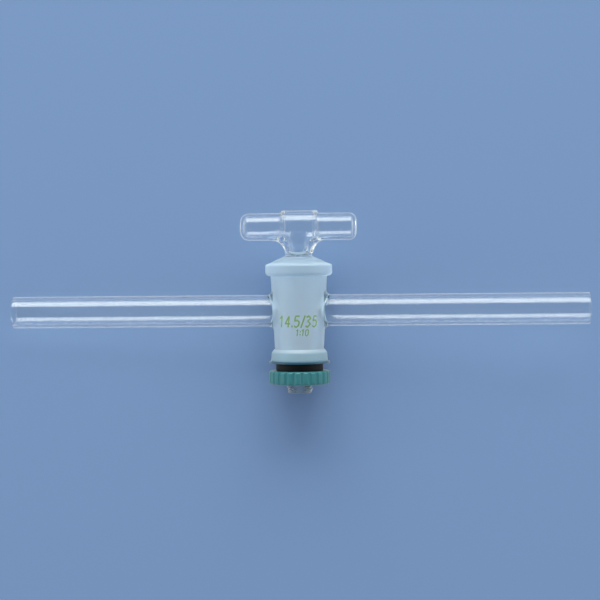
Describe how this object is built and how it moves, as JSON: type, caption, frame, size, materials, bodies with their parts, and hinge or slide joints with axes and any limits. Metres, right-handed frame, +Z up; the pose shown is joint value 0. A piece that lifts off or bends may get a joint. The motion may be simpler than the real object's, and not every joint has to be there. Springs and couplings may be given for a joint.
{
  "type": "glass stopcock",
  "caption": "In-line laboratory stopcock: ground barrel on two plain side arms, hollow T-handled plug, held by washer, rubber ring and ribbed nut.",
  "frame": {"origin": "on the surface that the stopcock lies on, below the middle of its box", "axes": "+X along the side arms to the right arm, which is raised a little; +Y along the plug towards its handle; +Z up from the bench"},
  "size_m": [0.2002, 0.0633, 0.0232],
  "materials": {
    "barrel_glass": "clear borosilicate glass with a ground bore",
    "plug_glass": "clear borosilicate glass with a ground cone",
    "washer_plastic": "thin hard plastic, dark teal",
    "ring_rubber": "moulded black rubber",
    "nut_plastic": "moulded green plastic, ribbed"
  },
  "bodies": {
    "barrel": {"barrel": "barrel_glass"},
    "plug": {"plug": "plug_glass", "washer": "washer_plastic"},
    "spring_ring": {"rubber_ring": "ring_rubber"},
    "nut": {"nut": "nut_plastic"}
  },
  "joints": [
    {"name": "plug_turn", "type": "hinge", "parent": "barrel", "child": "plug", "pos_m": [0, -0.003, 0.01126], "axis": [0, 0.9997, 0.0251], "continuous": true},
    {"name": "nut_travel", "type": "slide", "parent": "plug", "child": "spring_ring", "axis": [0, -0.9997, -0.0251], "range_m": [0, 0.0064]},
    {"name": "nut_turn", "type": "hinge", "parent": "spring_ring", "child": "nut", "pos_m": [0, -0.02599, 0.01069], "axis": [0, -0.9997, -0.0251], "range_deg": [0, 1440]}
  ],
  "couplings": [
    {"joint": "nut_turn", "follows": "nut_travel", "rad_per_m": 3927}
  ]
}
